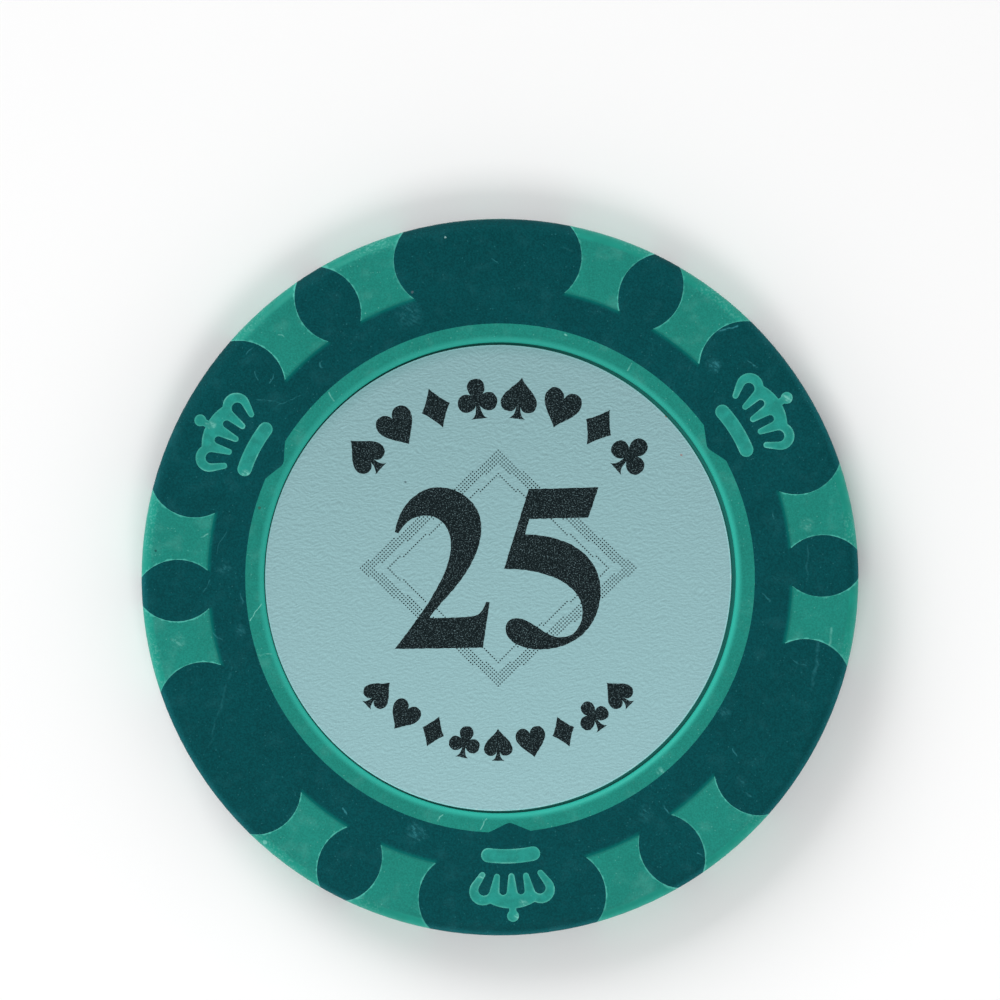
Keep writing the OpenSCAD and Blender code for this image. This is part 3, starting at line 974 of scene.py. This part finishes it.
# The back of the lip's section, which lies inside the ring
LIP_BACK = ((LIP_OUTER_R, LIP_SINK), (13.5, -0.2), (13.3, LIP_FOOT))


def ring_lip(bm):
    """The rounded inner lip of a ring, from the face down to the floor of the recess."""
    profile = [(LIP_R, LIP_FOOT)]
    for i in range(LIP_STEPS + 1):
        a = math.pi / 2 * i / LIP_STEPS
        profile.append((LIP_R + LIP_ROUND * (1 - math.cos(a)), LIP_SINK - LIP_ROUND * (1 - math.sin(a))))
    profile += LIP_BACK
    rings = turned_rings(bm, profile)
    join_rings(bm, rings + rings[:1])


def make_ring_lip(face, plastic):
    """The lip piece of one face."""
    if face == "front":
        place = Matrix.Translation((0, 0, CHIP_T * MM))
    else:
        place = Matrix.Rotation(math.pi, 4, "Y")

    def build(bm):
        ring_lip(bm)
        bm.transform(place)
    new_piece(f"{face}_ring_lip", build, plastic)


def make_label(face, print_ink):
    """The label of one face with its print, in place of the CAD's film and paper. Gives its material."""
    low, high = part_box(f"{face}_label_film")
    paper_low, paper_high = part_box(f"{face}_label_paper")
    centre = (low + high) / 2
    if face == "front":
        top, bottom, flip = high.z, paper_low.z, Matrix.Identity(4)
    else:
        top, bottom, flip = low.z, paper_high.z, Matrix.Rotation(math.pi, 4, "Y")
    turn = Matrix.Rotation(math.radians(LABEL_TURN), 4, "Z")
    place = Matrix.Translation((centre.x, centre.y, top)) @ flip @ turn
    radius = (high.x - low.x) / 2 / MM
    thick = abs(top - bottom) / MM
    film = label_film(f"{face}_label_film", centre.x / MM, radius)

    def build(bm):
        label_disc(bm, radius, thick)
        bm.transform(place)
    label = new_piece(f"{face}_label", build, film)
    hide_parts(f"{face}_label_film", f"{face}_label_paper")
    print_label(face, place, print_ink)
    return film


# Stage, light and camera

IMAGE_PX = 1000
PX_PER_MM = 17.95
VIEW_WIDTH = IMAGE_PX / PX_PER_MM
VIEW_DISTANCE = 600.0
VIEW_FROM_ABOVE = 2.0
AIM_ABOVE = 4.362
SENSOR_W = 36
# Metres and watts from here on
CLIP_NEAR = 0.005
CLIP_FAR = 10
FLOOR_SIZE = 4
FLOOR_TONES = ((0.96, 0.96, 0.96, 1), (0.98, 0.98, 0.98, 1))
ZENITH = 0.25
HORIZON = 1.15
KEY = {"place": (-0.36, 0.60, 0.45), "size": 0.5, "watts": 3.9}
NEAR_FILL = {"place": (0.0, -0.10, 0.17), "size": 0.08, "watts": 0.10}


def make_floor():
    """A plain pale floor under the chip."""
    look = Look("floor")
    haze = look.noise(0.02, 2)
    colour = look.mix(haze, *FLOOR_TONES)
    bpy.ops.mesh.primitive_plane_add(size=FLOOR_SIZE)
    floor = bpy.context.object
    floor.name = "floor"
    dress(floor, look.finish(colour, roughness=0.9, specular=0.0))


def add_area_light(name, place, size, watts):
    lamp = bpy.data.lights.new(name, "AREA")
    lamp.size = size
    lamp.energy = watts
    lamp_object = bpy.data.objects.new(name, lamp)
    lamp_object.location = place
    lamp_object.rotation_euler = Vector(place).to_track_quat("Z", "Y").to_euler()
    bpy.context.scene.collection.objects.link(lamp_object)


def make_lights():
    """A soft sky, brighter at the horizon, with a large key lamp and a small fill."""
    world = bpy.data.worlds.new("studio")
    world.use_nodes = True
    tree = world.node_tree
    ray = tree.nodes.new("ShaderNodeTexCoord").outputs["Generated"]
    up = tree.nodes.new("ShaderNodeSeparateXYZ")
    tree.links.new(ray, up.inputs[0])
    level = tree.nodes.new("ShaderNodeMapRange")
    level.inputs["To Min"].default_value = HORIZON
    level.inputs["To Max"].default_value = ZENITH
    tree.links.new(up.outputs["Z"], level.inputs["Value"])
    background = tree.nodes["Background"]
    background.inputs["Color"].default_value = (1, 1, 1, 1)
    tree.links.new(level.outputs["Result"], background.inputs["Strength"])
    bpy.context.scene.world = world
    add_area_light("key", **KEY)
    add_area_light("near_fill", **NEAR_FILL)


def make_camera():
    """A long lens that looks almost straight down, level with the photograph's label."""
    lens = bpy.data.cameras.new("camera")
    lens.sensor_width = SENSOR_W
    lens.lens = SENSOR_W * VIEW_DISTANCE / VIEW_WIDTH
    lens.clip_start = CLIP_NEAR
    lens.clip_end = CLIP_FAR
    camera = bpy.data.objects.new("camera", lens)
    roll = Matrix.Rotation(math.radians(-PATTERN_TURN), 4, "Z")
    aim = Matrix.Translation((0, AIM_ABOVE * MM, CHIP_T * MM))
    lean = Matrix.Rotation(math.radians(-VIEW_FROM_ABOVE), 4, "X")
    back = Matrix.Translation((0, 0, VIEW_DISTANCE * MM))
    camera.matrix_world = roll @ aim @ lean @ back
    bpy.context.scene.collection.objects.link(camera)
    bpy.context.scene.camera = camera


dress(nodes["base_moulding"], dark_plastic())
light = light_plastic()
dress(nodes["spot_moulding"], light)
dress(nodes["steel_slug"], steel())
glue = adhesive()
print_ink = ink()
for face in ("front", "back"):
    make_ring_lip(face, light)
    film = make_label(face, print_ink)
    dress(nodes[f"{face}_label_adhesive"], glue)
    dress(nodes[f"{face}_label_film"], film)
    dress(nodes[f"{face}_label_paper"], film)
make_floor()
make_lights()
make_camera()
bpy.context.scene.view_settings.view_transform = "Standard"
